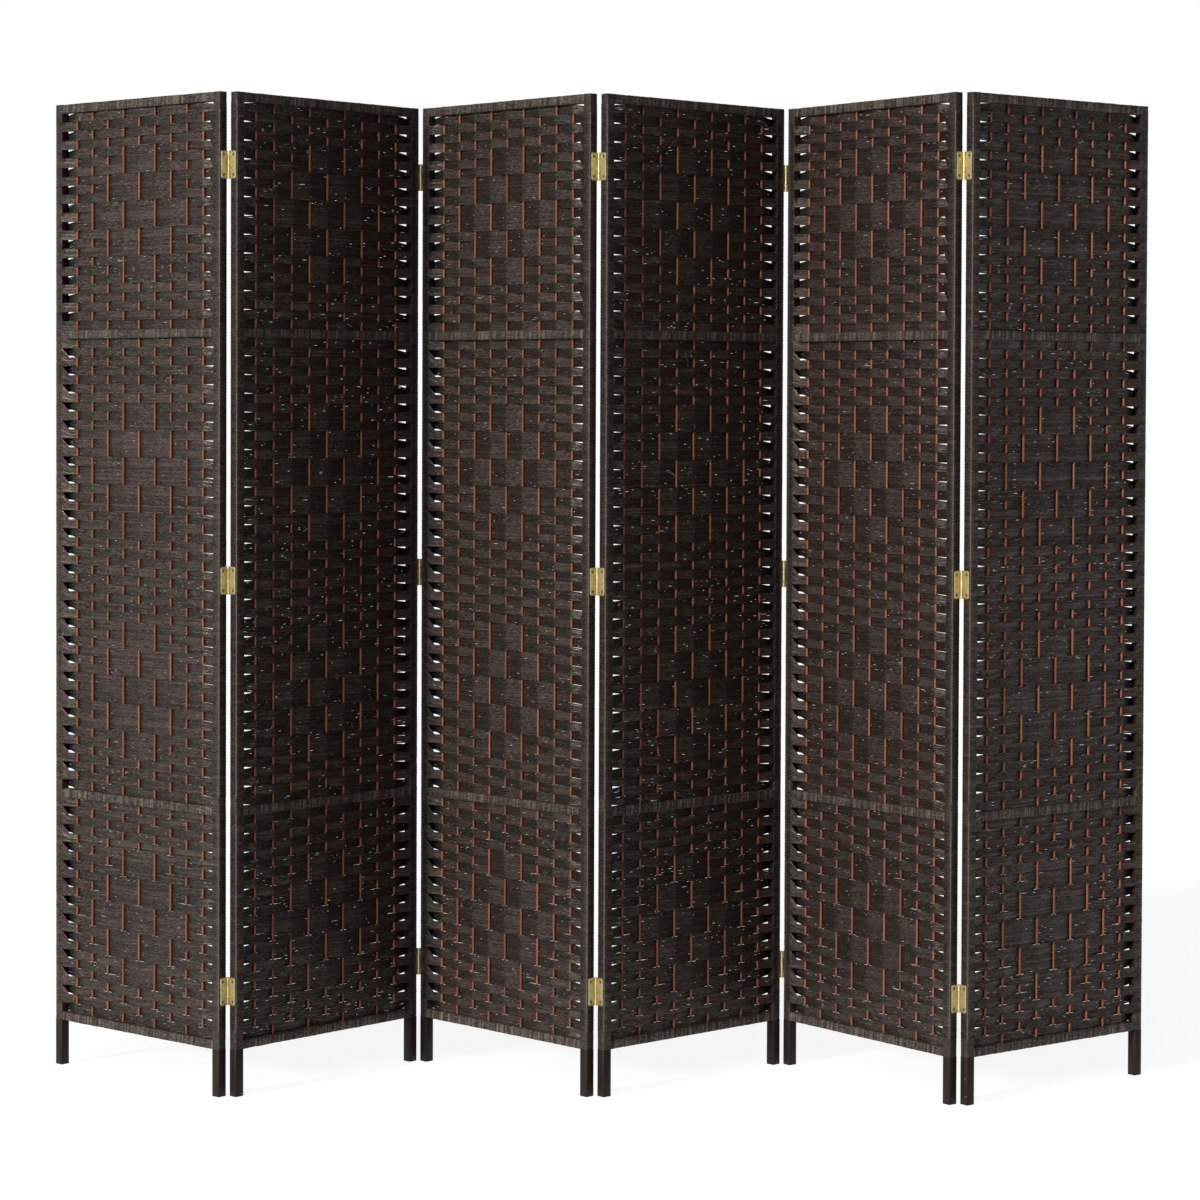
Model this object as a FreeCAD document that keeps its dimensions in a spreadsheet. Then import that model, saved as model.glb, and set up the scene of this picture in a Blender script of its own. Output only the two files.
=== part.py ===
import FreeCAD, Part
import os
import re

# A folding screen of six panels that stands in a zigzag. Each panel is a wooden frame with round
# stakes and three woven fields, and is hinged to the next along its edge. Millimetres and degrees;
# +Z is up, +X runs along the screen, and the origin is on the floor at the middle of the footprint.

DIMENSIONS = [
    ("panel_width", 450, "a panel over its two stiles"),
    ("panel_height", 1800, "floor to the top of a panel"),
    ("stile_width", 17.5, "a stile, along the panel"),
    ("frame_depth", 17.5, "stiles and rails, front to back"),
    ("rail_height", 17, "each of the four rails"),
    ("leg_height", 84, "floor to the bottom rail"),
    ("lower_field", 403.5, "height of the lower woven field"),
    ("upper_field", 403.5, "height of the upper woven field"),
    ("stake_count", 9, "stakes in a panel"),
    ("stake_diameter", 4.5, "a round stake"),
    ("stake_seat", 8, "depth of a stake's end in the top or bottom rail"),
    ("stake_clearance", 0.1, "around a stake, in the rails"),
    ("lower_rows", 24, "rows of strip in the lower field"),
    ("middle_rows", 50, "rows of strip in the middle field"),
    ("upper_rows", 24, "rows of strip in the upper field"),
    ("row_gap", 0.4, "between two rows of strip"),
    ("band_thickness", 1.2, "woven strip"),
    ("band_clearance", 0.2, "between a strip and the stake that it passes"),
    ("weave_clearance", 0.2, "around a woven field, inside its frame"),
    ("dowel_diameter", 6, "dowel between a rail and a stile"),
    ("dowel_length", 24, "dowel, end to end"),
    ("dowel_in_stile", 10, "part of the dowel that is in the stile"),
    ("fit_clearance", 0.05, "around dowels, screws and hinge pins"),
    ("hole_end_gap", 0.5, "spare depth of a blind hole"),
    ("hinge_low", 189, "floor to the middle of the lowest hinge"),
    ("hinge_mid", 927, "floor to the middle of the middle hinge"),
    ("hinge_drop", 130, "top of a panel to the middle of the highest hinge"),
    ("hinge_height", 50, "a hinge, along its pin"),
    ("leaf_reach", 17, "hinge axis to the far edge of a leaf"),
    ("leaf_thickness", 1.3, "sheet of a leaf"),
    ("leaf_corner", 3, "radius of a leaf's outer corners"),
    ("pin_diameter", 3, "hinge pin"),
    ("mid_knuckle", 25, "length of the middle knuckle"),
    ("knuckle_gap", 0.3, "between two knuckles, and around a knuckle in a leaf's notch"),
    ("edge_gap", 4, "between two stiles' edges when the screen is flat"),
    ("axis_standoff", 2.6, "hinge axis beyond the panel's face"),
    ("screw_diameter", 3, "shank of a hinge screw"),
    ("screw_length", 12, "hinge screw over its head"),
    ("screw_point", 2, "tapered end of a hinge screw"),
    ("screw_point_diameter", 0.8, "blunt tip of a hinge screw"),
    ("screw_head_diameter", 5.6, "countersunk head"),
    ("screw_head_height", 1.2, "countersunk head"),
    ("screw_slot_width", 0.7, "driver slot"),
    ("screw_slot_depth", 0.5, "driver slot"),
    ("screw_spacing", 36, "between a leaf's two screws"),
    ("panel_1_angle", 39, "panel's turn away from the line of the screen"),
    ("panel_2_angle", 49, "panel's turn away from the line of the screen"),
    ("panel_3_angle", 43.5, "panel's turn away from the line of the screen"),
    ("panel_4_angle", 44, "panel's turn away from the line of the screen"),
    ("panel_5_angle", 50.5, "panel's turn away from the line of the screen"),
    ("panel_6_angle", 39.5, "panel's turn away from the line of the screen"),
]
PANELS = 6
# Diamond figures in the weave: stakes, counted from the middle one, that stay in front of each step
DIAMOND = [(-1, 1), (-2, 0, 2), (-3, -1, 1, 3), (-2, 0, 2), (-1, 1)]
ROWS_PER_STEP = 3
# Fields from the bottom up: name, which stake is the first to show in the top row, and the rows,
# counted from the top, where diamonds start
FIELDS = [("lower", 0, (5,)), ("middle", 0, (7, 31)), ("upper", 1, (4,))]
FOLDS = PANELS - 1
BACK, FRONT = 1, -1
LEFT, RIGHT = -1, 1

Vector, Rotation, Placement = FreeCAD.Vector, FreeCAD.Rotation, FreeCAD.Placement
X_AXIS, Y_AXIS, Z_AXIS = Vector(1, 0, 0), Vector(0, 1, 0), Vector(0, 0, 1)

# Formulas over the driving dimensions, used by more than one piece
RAIL_BASES = [
    "leg_height",
    "leg_height + rail_height + lower_field",
    "panel_height - 2 * rail_height - upper_field",
    "panel_height - rail_height",
]
HINGE_MIDDLES = ["hinge_low", "hinge_mid", "panel_height - hinge_drop"]
INNER_WIDTH = "(panel_width - 2 * stile_width)"
STAKE_PITCH = "(panel_width - stile_width) / (stake_count + 1)"
STAKE_HOLE = "stake_diameter + 2 * stake_clearance"
DOWEL_HOLE = "dowel_diameter + 2 * fit_clearance"
SCREW_HOLE = "screw_diameter + 2 * fit_clearance"
SCREW_LINE = "axis_standoff + frame_depth / 2"
PIN_BORE = "pin_diameter + 2 * fit_clearance"
BARREL_RADIUS = "(pin_diameter / 2 + fit_clearance + leaf_thickness)"
LEAF_FACE = "leaf_thickness - edge_gap / 2"

doc = FreeCAD.newDocument("folding_screen")
sizes = doc.addObject("Spreadsheet::Sheet", "sizes")
for row, (alias, number, meaning) in enumerate(DIMENSIONS, start=1):
    sizes.set(f"A{row}", meaning)
    sizes.set(f"B{row}", str(number))
    sizes.setAlias(f"B{row}", alias)
doc.recompute()
ALIASES = re.compile(r"\b(" + "|".join(alias for alias, _, _ in DIMENSIONS) + r")\b")
nodes = []


def size(alias):
    return float(getattr(sizes, alias))


def tie(obj, **formulas):
    """Bind an object's sizes to the sheet; x, y and z give its place."""
    for name, text in formulas.items():
        target = f"Placement.Base.{name}" if name in "xyz" else name
        obj.setExpression(target, ALIASES.sub(r"sizes.\1", str(text)))
    return obj


def block(name, length, depth, height, x, y, z):
    box = doc.addObject("Part::Box", name)
    return tie(box, Length=length, Width=depth, Height=height, x=x, y=y, z=z)


def rod(name, diameter, length, x, y, z, along=Z_AXIS):
    """A cylinder that starts at x, y, z."""
    cylinder = doc.addObject("Part::Cylinder", name)
    cylinder.Placement = Placement(Vector(), Rotation(Z_AXIS, along))
    return tie(cylinder, Radius=f"({diameter}) / 2", Height=length, x=x, y=y, z=z)


def taper(name, start_diameter, end_diameter, length, x, y, z, along=Z_AXIS):
    """A cone that starts at x, y, z."""
    cone = doc.addObject("Part::Cone", name)
    cone.Placement = Placement(Vector(), Rotation(Z_AXIS, along))
    radii = {"Radius1": f"({start_diameter}) / 2", "Radius2": f"({end_diameter}) / 2"}
    return tie(cone, Height=length, x=x, y=y, z=z, **radii)


def group(name, pieces):
    compound = doc.addObject("Part::Compound", name)
    compound.Links = pieces
    return compound


def fuse(name, pieces):
    union = doc.addObject("Part::MultiFuse", name)
    union.Shapes = pieces
    union.Refine = True
    return union


def cut(name, base, tool):
    result = doc.addObject("Part::Cut", name)
    result.Base = base
    result.Tool = tool
    return result


def stile(name, hinged):
    """An upright about its own centre line: inner face towards +X, hinged edge towards -X."""
    bar = block(f"{name}_bar", "stile_width", "frame_depth", "panel_height",
                "-stile_width / 2", "-frame_depth / 2", 0)
    depth = "(dowel_in_stile + hole_end_gap)"
    holes = [rod(f"{name}_dowel_hole_{i}", DOWEL_HOLE, depth, f"stile_width / 2 - {depth}", 0,
                 f"{base} + rail_height / 2", X_AXIS)
             for i, base in enumerate(RAIL_BASES)]
    if hinged:
        pilot = "screw_length - leaf_thickness + hole_end_gap"
        holes += [rod(f"{name}_pilot_hole_{i}_{sign}", SCREW_HOLE, pilot, "-stile_width / 2", 0,
                      f"{middle} + {sign} * screw_spacing / 2", X_AXIS)
                  for i, middle in enumerate(HINGE_MIDDLES) for sign in (-1, 1)]
    return cut(name, bar, group(f"{name}_holes", holes))


def stake_x(i):
    return f"({i} - (stake_count - 1) / 2) * {STAKE_PITCH}"


def stake_numbers():
    return range(int(size("stake_count")))


def stake_holes(name, z, height):
    return [rod(f"{name}_stake_hole_{i}", STAKE_HOLE, height, stake_x(i), 0, z)
            for i in stake_numbers()]


def rails():
    """The four cross rails of a panel, drilled for dowels and stakes."""
    seat = "(stake_seat + hole_end_gap)"
    top_base = RAIL_BASES[-1]
    stake_bores = [(f"leg_height + rail_height - {seat}", seat),
                   (RAIL_BASES[1], "rail_height"),
                   (RAIL_BASES[2], "rail_height"),
                   (top_base, seat)]
    dowel_depth = "(dowel_length - dowel_in_stile + hole_end_gap)"
    pieces = []
    for i, (base, (bore_base, bore_height)) in enumerate(zip(RAIL_BASES, stake_bores)):
        bar = block(f"rail_{i}_bar", INNER_WIDTH, "frame_depth", "rail_height",
                    f"-{INNER_WIDTH} / 2", "-frame_depth / 2", base)
        holes = stake_holes(f"rail_{i}", bore_base, bore_height)
        for side, start in ((LEFT, f"-{INNER_WIDTH} / 2"), (RIGHT, f"{INNER_WIDTH} / 2 - {dowel_depth}")):
            holes.append(rod(f"rail_{i}_dowel_hole_{side}", DOWEL_HOLE, dowel_depth, start, 0,
                             f"{base} + rail_height / 2", X_AXIS))
        pieces.append(cut(f"rail_{i}", bar, group(f"rail_{i}_holes", holes)))
    return group("rails", pieces)


def stakes():
    """The stakes of a panel, seated in the bottom and top rails."""
    start = "leg_height + rail_height - stake_seat"
    length = "panel_height - leg_height - 2 * rail_height + 2 * stake_seat"
    return group("stakes", [rod(f"stake_{i}", "stake_diameter", length, stake_x(i), 0, start)
                            for i in stake_numbers()])


def shown_stakes(row, first_shown, diamonds):
    """Which stakes lie in front of a row's band. A diamond holds its stakes for a few rows."""
    count = int(size("stake_count"))
    shown = [(i + row + first_shown) % 2 == 0 for i in range(count)]
    for first in diamonds:
        step = (row - first) // ROWS_PER_STEP
        if 0 <= step < len(DIAMOND):
            held = [count // 2 + offset for offset in DIAMOND[step]]
            for i in range(max(held[0], 0), min(held[-1], count - 1) + 1):
                shown[i] = i in held
    return shown


def band(shown, length, height):
    """One row of strip along X: behind the stakes that show, before the others, out to the far face
    at the stiles."""
    thickness = size("band_thickness")
    crest = size("stake_diameter") / 2 + size("band_clearance") + thickness / 2
    edge = (size("frame_depth") - thickness) / 2
    pitch = (size("panel_width") - size("stile_width")) / (len(shown) + 1)
    xs = [(i - (len(shown) - 1) / 2) * pitch for i in range(len(shown))]
    xs = [-length / 2] + xs + [length / 2]
    ys = [(BACK if show else FRONT) * crest for show in shown]
    ys = [-edge if ys[0] > 0 else edge] + ys + [-edge if ys[-1] > 0 else edge]
    level = {"Tangents": [X_AXIS] * len(xs), "TangentFlags": [True] * len(xs)}
    front, back = Part.BSplineCurve(), Part.BSplineCurve()
    for curve, offset in ((front, -thickness / 2), (back, thickness / 2)):
        curve.interpolate(Points=[Vector(x, y + offset, 0) for x, y in zip(xs, ys)], **level)
    right_end = Part.LineSegment(front.EndPoint, back.EndPoint)
    left_end = Part.LineSegment(back.StartPoint, front.StartPoint)
    outline = Part.Wire([side.toShape() for side in (front, right_end, back, left_end)])
    return Part.Face(outline).extrude(Vector(0, 0, height))


def woven_field(name, bottom, top, rows, first_shown, diamonds):
    """A field of rows between two rails, joined by the strip's turns along both stiles."""
    clearance, gap, turn = size("weave_clearance"), size("row_gap"), size("band_thickness")
    depth = size("frame_depth")
    width = size("panel_width") - 2 * size("stile_width") - 2 * clearance
    pitch = (top - bottom - 2 * clearance + gap) / rows
    bands = []
    for row in range(rows):
        shape = band(shown_stakes(row, first_shown, diamonds), width - 2 * turn, pitch - gap)
        shape.translate(Vector(0, 0, top - clearance + gap - (row + 1) * pitch))
        bands.append(shape)
    height = top - bottom - 2 * clearance
    turns = [Part.makeBox(turn, depth, height, Vector(x, -depth / 2, bottom + clearance))
             for x in (-width / 2, width / 2 - turn)]
    field = doc.addObject("Part::Feature", name)
    field.Shape = turns[0].multiFuse(turns[1:] + bands)
    return field


def weave():
    """The three woven fields of a panel, from the bottom up."""
    rail, height = size("rail_height"), size("panel_height")
    lower_top = size("leg_height") + rail + size("lower_field")
    upper_bottom = height - rail - size("upper_field")
    spans = [(size("leg_height") + rail, lower_top), (lower_top + rail, upper_bottom - rail),
             (upper_bottom, height - rail)]
    return group("weave", [
        woven_field(f"{name}_weave", *span, int(size(f"{name}_rows")), first_shown, diamonds)
        for span, (name, first_shown, diamonds) in zip(spans, FIELDS)])


def dowels():
    """The dowels that hold the rails' ends in the stiles."""
    left_start = f"-{INNER_WIDTH} / 2 - dowel_in_stile"
    right_start = f"{INNER_WIDTH} / 2 + dowel_in_stile - dowel_length"
    return group("dowels", [rod(f"dowel_{i}_{j}", "dowel_diameter", "dowel_length", start, 0,
                                f"{base} + rail_height / 2", X_AXIS)
                            for i, base in enumerate(RAIL_BASES)
                            for j, start in enumerate((left_start, right_start))])


def countersink(name, z):
    """The cut for a screw through a leaf, wide at the leaf's outer face."""
    head = taper(f"{name}_head", SCREW_HOLE, "screw_head_diameter + 2 * fit_clearance",
                 "screw_head_height", f"{LEAF_FACE} - screw_head_height", SCREW_LINE, z, X_AXIS)
    shank = rod(f"{name}_shank", SCREW_HOLE, "leaf_thickness", "-edge_gap / 2", SCREW_LINE, z, X_AXIS)
    return [head, shank]


def leaf(name, knuckles, notches):
    """A hinge leaf about the hinge axis: its stile lies towards -X, its far edge towards +Y.

    knuckles and notches are spans along the pin, as (start, length)."""
    straight = "(leaf_reach - leaf_corner)"
    start = "-edge_gap / 2"
    plate = [
        block(f"{name}_plate", "leaf_thickness", straight, "hinge_height", start, 0, "-hinge_height / 2"),
        block(f"{name}_rim", "leaf_thickness", "leaf_corner", "hinge_height - 2 * leaf_corner",
              start, straight, "leaf_corner - hinge_height / 2"),
    ]
    plate += [rod(f"{name}_corner_{sign}", "2 * leaf_corner", "leaf_thickness", start, straight,
                  f"{sign} * (hinge_height / 2 - leaf_corner)", X_AXIS) for sign in (-1, 1)]
    barrel = [rod(f"{name}_knuckle_{i}", f"2 * {BARREL_RADIUS}", length, 0, 0, z)
              for i, (z, length) in enumerate(knuckles)]
    cuts = [rod(f"{name}_bore", PIN_BORE, "hinge_height", 0, 0, "-hinge_height / 2")]
    cuts += [block(f"{name}_notch_{i}", "edge_gap", f"{BARREL_RADIUS} + knuckle_gap", length,
                   start, 0, z) for i, (z, length) in enumerate(notches)]
    for sign in (-1, 1):
        cuts += countersink(f"{name}_sink_{sign}", f"{sign} * screw_spacing / 2")
    return cut(name, fuse(f"{name}_solid", plate + barrel), fuse(f"{name}_cuts", cuts))


def hinge_leaves():
    """The leaf with the two end knuckles, and the leaf with the middle knuckle."""
    end_length = "(hinge_height - mid_knuckle) / 2"
    end_spans = [("-hinge_height / 2", f"{end_length} - knuckle_gap"),
                 ("mid_knuckle / 2 + knuckle_gap", f"{end_length} - knuckle_gap")]
    mid_span = [("-mid_knuckle / 2", "mid_knuckle")]
    mid_notch = [("-mid_knuckle / 2 - knuckle_gap", "mid_knuckle + 2 * knuckle_gap")]
    end_notches = [("-hinge_height / 2", end_length), ("mid_knuckle / 2", end_length)]
    return leaf("end_leaf", end_spans, mid_notch), leaf("mid_leaf", mid_span, end_notches)


def screw():
    """A countersunk wood screw along +X: the flat of its head at the origin, its point at -X."""
    body = fuse("screw_body", [
        taper("screw_head", "screw_diameter", "screw_head_diameter", "screw_head_height",
              "-screw_head_height", 0, 0, X_AXIS),
        rod("screw_shank", "screw_diameter", "screw_length - screw_head_height - screw_point",
            "screw_point - screw_length", 0, 0, X_AXIS),
        taper("screw_tip", "screw_point_diameter", "screw_diameter", "screw_point",
              "-screw_length", 0, 0, X_AXIS),
    ])
    slot = block("screw_slot", "screw_slot_depth", "screw_slot_width", "screw_head_diameter",
                 "-screw_slot_depth", "-screw_slot_width / 2", "-screw_head_diameter / 2")
    return cut("screw", body, slot)


def node(label, copies):
    """A sub-part of the screen, made of (template, placement) copies."""
    links = []
    for i, (template, place) in enumerate(copies):
        link = doc.addObject("App::Link", f"{label}_copy_{i}")
        link.LinkedObject = template
        link.LinkTransform = True
        link.Placement = place
        links.append(link)
    part = group(label, links)
    part.Label = label
    nodes.append(part)


def barrel_side(fold):
    """Folds that stand out to the front have their hinges at the back, and the others at the front."""
    return BACK if fold % 2 == 0 else FRONT


def hinge_point(edge, side, z=0):
    """A point on the hinge axis at a panel's left or right edge, in the panel's own frame."""
    reach = (size("panel_width") + size("edge_gap")) / 2
    stand = size("frame_depth") / 2 + size("axis_standoff")
    return Vector(edge * reach, side * stand, z)


def panel_places():
    """Each panel's placement, hinged on from the last one and centred on the footprint."""
    places = []
    for k in range(PANELS):
        heading = size(f"panel_{k + 1}_angle") * (-1 if k % 2 == 0 else 1)
        turn = Rotation(Z_AXIS, heading)
        base = Vector()
        if k > 0:
            axis = places[-1].multVec(hinge_point(RIGHT, barrel_side(k - 1)))
            base = axis - turn.multVec(hinge_point(LEFT, barrel_side(k - 1)))
        places.append(Placement(base, turn))
    half_width, half_depth = size("panel_width") / 2, size("frame_depth") / 2
    corners = [place.multVec(Vector(i * half_width, j * half_depth, 0))
               for place in places for i in (LEFT, RIGHT) for j in (BACK, FRONT)]
    box = FreeCAD.BoundBox()
    for corner in corners:
        box.add(corner)
    middle = Vector(box.Center.x, box.Center.y, 0)
    return [Placement(place.Base - middle, place.Rotation) for place in places]


def hinge_places(panel_place, edge, side):
    """A panel edge's three hinges: leaf frames turned so that +X leaves the edge."""
    turns = {(RIGHT, FRONT): Rotation(), (RIGHT, BACK): Rotation(X_AXIS, 180),
             (LEFT, FRONT): Rotation(Y_AXIS, 180), (LEFT, BACK): Rotation(Z_AXIS, 180)}
    heights = [size("hinge_low"), size("hinge_mid"), size("panel_height") - size("hinge_drop")]
    return [panel_place * Placement(hinge_point(edge, side, z), turns[edge, side]) for z in heights]


def screw_places(hinge_place):
    face = size("leaf_thickness") - size("edge_gap") / 2
    line = size("axis_standoff") + size("frame_depth") / 2
    return [hinge_place * Placement(Vector(face, line, sign * size("screw_spacing") / 2), Rotation())
            for sign in (-1, 1)]


hinged_stile, free_stile = stile("hinged_stile", True), stile("free_stile", False)
end_leaf, mid_leaf = hinge_leaves()
hinge_screw = screw()
hinge_pin = rod("hinge_pin", "pin_diameter", "hinge_height", 0, 0, "-hinge_height / 2")
panel_parts = {"rails": rails(), "stakes": stakes(), "weave": weave(), "dowels": dowels()}
half_turn = Rotation(Z_AXIS, 180)
stile_offset = (size("panel_width") - size("stile_width")) / 2

for k, place in enumerate(panel_places()):
    panel = f"panel_{k + 1}"
    left_place = place * Placement(Vector(-stile_offset, 0, 0), Rotation())
    right_place = place * Placement(Vector(stile_offset, 0, 0), half_turn)
    node(f"{panel}_left_stile", [(hinged_stile if k > 0 else free_stile, left_place)])
    node(f"{panel}_right_stile", [(hinged_stile if k < FOLDS else free_stile, right_place)])
    for name, template in panel_parts.items():
        node(f"{panel}_{name}", [(template, place)])
    screws = []
    if k > 0:
        hinges = hinge_places(place, LEFT, barrel_side(k - 1))
        node(f"hinge_{k}_{k + 1}_right_leaves", [(mid_leaf, hinge) for hinge in hinges])
        screws += [spot for hinge in hinges for spot in screw_places(hinge)]
    if k < FOLDS:
        hinges = hinge_places(place, RIGHT, barrel_side(k))
        node(f"hinge_{k + 1}_{k + 2}_left_leaves", [(end_leaf, hinge) for hinge in hinges])
        node(f"hinge_{k + 1}_{k + 2}_pins", [(hinge_pin, hinge) for hinge in hinges])
        screws += [spot for hinge in hinges for spot in screw_places(hinge)]
    node(f"{panel}_hinge_screws", [(hinge_screw, spot) for spot in screws])

doc.recompute()
faults = [obj.Label for obj in doc.Objects if {"Invalid", "Error"} & set(obj.State)]
faults += [part.Label for part in nodes if part.Shape.isNull() or not part.Shape.isValid()]
if faults:
    raise RuntimeError("faulty pieces: " + ", ".join(faults))

os.makedirs("parts", exist_ok=True)
for part in nodes:
    part.Shape.exportStep(f"parts/{part.Label}.step")
print(len(nodes), "nodes,", sum(len(part.Shape.Solids) for part in nodes), "solids")
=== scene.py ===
import math

import bmesh
import bpy
import numpy as np
from mathutils import Matrix, Vector


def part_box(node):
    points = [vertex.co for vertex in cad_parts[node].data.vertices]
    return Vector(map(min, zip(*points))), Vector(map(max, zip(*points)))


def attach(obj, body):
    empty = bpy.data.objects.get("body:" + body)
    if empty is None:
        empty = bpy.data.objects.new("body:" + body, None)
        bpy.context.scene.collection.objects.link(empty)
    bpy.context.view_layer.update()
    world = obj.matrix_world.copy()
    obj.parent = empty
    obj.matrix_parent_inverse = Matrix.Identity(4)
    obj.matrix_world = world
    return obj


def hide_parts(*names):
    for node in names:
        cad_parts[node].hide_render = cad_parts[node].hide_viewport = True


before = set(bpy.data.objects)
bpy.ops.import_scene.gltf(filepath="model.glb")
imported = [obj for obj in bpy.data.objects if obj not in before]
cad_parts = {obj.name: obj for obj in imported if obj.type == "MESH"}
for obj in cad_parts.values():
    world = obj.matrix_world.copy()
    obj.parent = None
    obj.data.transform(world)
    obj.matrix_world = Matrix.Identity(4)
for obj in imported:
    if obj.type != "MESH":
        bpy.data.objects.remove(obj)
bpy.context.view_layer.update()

# A folding screen of six woven panels. Panels and hinges are worked out in millimetres, in a panel's
# own frame: X along the panel, Y from its front to its back, Z up. place() takes them to the row frame.
MM = 0.001
PANELS = 6
PANEL_WIDTH, PANEL_HEIGHT = 450.0, 1800.0
STILE = 17.5
RAIL_HEIGHT = 17.0
RAIL_BASES = (84.0, 504.5, 1362.5, 1783.0)
STAKES, STAKE_DIAMETER, STAKE_SEAT = 9, 4.5, 8.0
STILE_CENTRE = (PANEL_WIDTH - STILE) / 2
STAKE_PITCH = 2 * STILE_CENTRE / (STAKES + 1)

LEFT, RIGHT = -1, 1
FRONT, BACK = -1, 1
UP, DOWN = 1, -1

# Woven fields from the bottom up: rows, which stake is the first to show in the top row, and the rows,
# counted from the top, where diamonds start
FIELDS = {
    "lower": (24, 0, (5,)),
    "middle": (50, 0, (7, 31)),
    "upper": (24, 1, (4,)),
}
# Stakes, counted from the middle one, that stay in front of each step of a diamond
DIAMOND = ((-1, 1), (-2, 0, 2), (-3, -1, 1, 3), (-2, 0, 2), (-1, 1))
ROWS_PER_STEP = 3
# At the left and the right stile: how far out a field's front rows start to spread, as a share of the way
# to the first stake, and which way they spread. Panels with an even number have one spread for all fields.
SPREADS = {
    "lower": ((0.45, UP), (0.06, UP)),
    "middle": ((0.45, UP), (0.06, UP)),
    "upper": ((0.05, UP), (0.42, DOWN)),
}
EVEN_PANEL_SPREADS = ((0.06, UP), (0.06, UP))
# At the left and the right stile: how much narrower back rows are at their top and bottom. Below zero is
# wider.
NARROWS = {
    "lower": ((-1.0, 0.3), (-1.0, 0.2)),
    "middle": ((-1.6, 2.9), (3.7, -1.8)),
    "upper": ((2.4, -1.0), (2.8, -1.0)),
}

# A woven strip is a row of twisted paper cords, laid side by side. Slits are where two cords part.
CORDS = 6
STRIP_THICKNESS = 1.2
STAKE_GAP, STAKE_OVERLAP = 0.2, 0.25
CORD_OVERLAP, CORD_FULLNESS = 0.15, (0.65, 0.85)
CORD_DRIFT, OUTER_DRIFT_SHARE = 0.16, 0.35
CORD_RIDGE_DRIFT, CORD_LIFT = 0.05, 0.07
SLITS, SLIT_VARIETY = 0.05, (0.3, 1.7)
SLIT_LEAST, SLIT_MORE = 0.16, 0.24
# Where a strip ends on a stile's outer side, as a share of the way to the back
FRONT_TUCK, BACK_TUCK = 1.02, 0.75
# Rings along a strip: how far from a stile's edge or a stake its bend starts, and the places of the rings in
# each span, from the left
WRAP_REACH, STAKE_REACH = 0.6, 2.6
LEFT_SPANS = [(0.4, 0.75, 0.92), (0.1, 0.5), (0.5,), (0.3, 0.65)]
STAKE_SPAN = (0.2, 0.35, 0.5, 0.65, 0.8)
RIGHT_SPANS = [(0.35, 0.7), (0.5,), (0.5, 0.9), (0.08, 0.25, 0.6)]
# How tightly the pale rubbed colour gathers at the stiles' outer corners, where it is partly wear and partly
# a painted highlight
WEAR_AND_HIGHLIGHT_SHARPNESS = 12
MIDDLE_TONE = 0.5

# Stiles: the strip's middle, the wood inside it, and the bare leg
WRAP_FACE = STILE / 2 - 0.45
CORE_SIDE = 16.4
LEG_SIDE = 17.5
STILE_CORNER, CORNER_STEPS = 0.7, 3
BINDING_TRIM = 0.3
STAKE_SHARE = 0.92       # of the CAD's diameter

# Hinges, as in the frame: the leaf lies at -X of the hinge axis, with its far edge at +Y
HINGE_MIDDLES = (189.0, 927.0, 1670.0)
HINGE_HEIGHT, LEAF_REACH, LEAF_THICKNESS, LEAF_CORNER = 50.0, 17.0, 1.3, 3.0
EDGE_GAP, AXIS_STANDOFF = 4.0, 2.6
LEAF_FACE = LEAF_THICKNESS - EDGE_GAP / 2
LEAF_BEVEL, ROLLED_EDGE = 0.22, 2.0
PIN_RADIUS, BORE_RADIUS, BARREL_RADIUS, BARREL_BEVEL = 1.5, 1.55, 2.85, 0.3
MID_KNUCKLE, KNUCKLE_GAP = 25.0, 0.3
SCREW_LINE, SCREW_SPACING = AXIS_STANDOFF + STILE / 2, 36.0
SCREW_RADIUS, SCREW_HEAD, SCREW_HEAD_HEIGHT, SCREW_LENGTH = 1.5, 2.8, 1.2, 12.0
SCREW_POINT, SCREW_TIP_RADIUS, HOLE_CLEARANCE = 2, 0.4, 0.1
HOLE_SEGMENTS, BARREL_SEGMENTS, PIN_SEGMENTS = 24, 28, 20

# Edges sharper than this are shaded sharp, in degrees
TUBE_SHARP, METAL_SHARP = 65, 40
# Margins in the map OFBake: at a tube's ends, and beside it
BAKE_END, BAKE_SIDE = 0.005, 0.04

# Stage: the floor's size in metres, its glow and the glow's share; the world's fill and its ceiling, which
# starts and is full at these heights of a ray's direction
FLOOR_SIZE = 60
FLOOR_GLOW, FLOOR_GLOW_SHARE = 1.29, 0.7
FILL, CEILING = 0.08, 0.08
CEILING_START, CEILING_FULL = 0.13, 0.19
# Each lamp's name, strength, angle across, and how far it stands to the left and above, in degrees
LAMPS = (("key", 3.4, 8, 45.5, 18), ("front", 1.3, 30, 12, 35))


def panel_place(k):
    """A panel's frame in the row frame, from where its two stiles stand."""
    left, right = (sum(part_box(f"panel_{k}_{side}_stile"), Vector()) / 2 for side in ("left", "right"))
    along = (right - left).to_2d().normalized()
    middle = (left + right) / 2
    turn = Matrix.Rotation(math.atan2(along.y, along.x), 4, "Z")
    return Matrix.Translation((middle.x, middle.y, 0)) @ turn @ Matrix.Scale(MM, 4)


def place(points, matrix):
    turn = np.array(matrix)
    return points @ turn[:3, :3].T + turn[:3, 3]


# Meshes


def bake_map(along, number, side, count):
    """Places in the map OFBake, from shares along and around tube number of count."""
    return np.stack([BAKE_END + (1 - 2 * BAKE_END) * along,
                     (number + BAKE_SIDE + (1 - 2 * BAKE_SIDE) * side) / count], -1)


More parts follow.
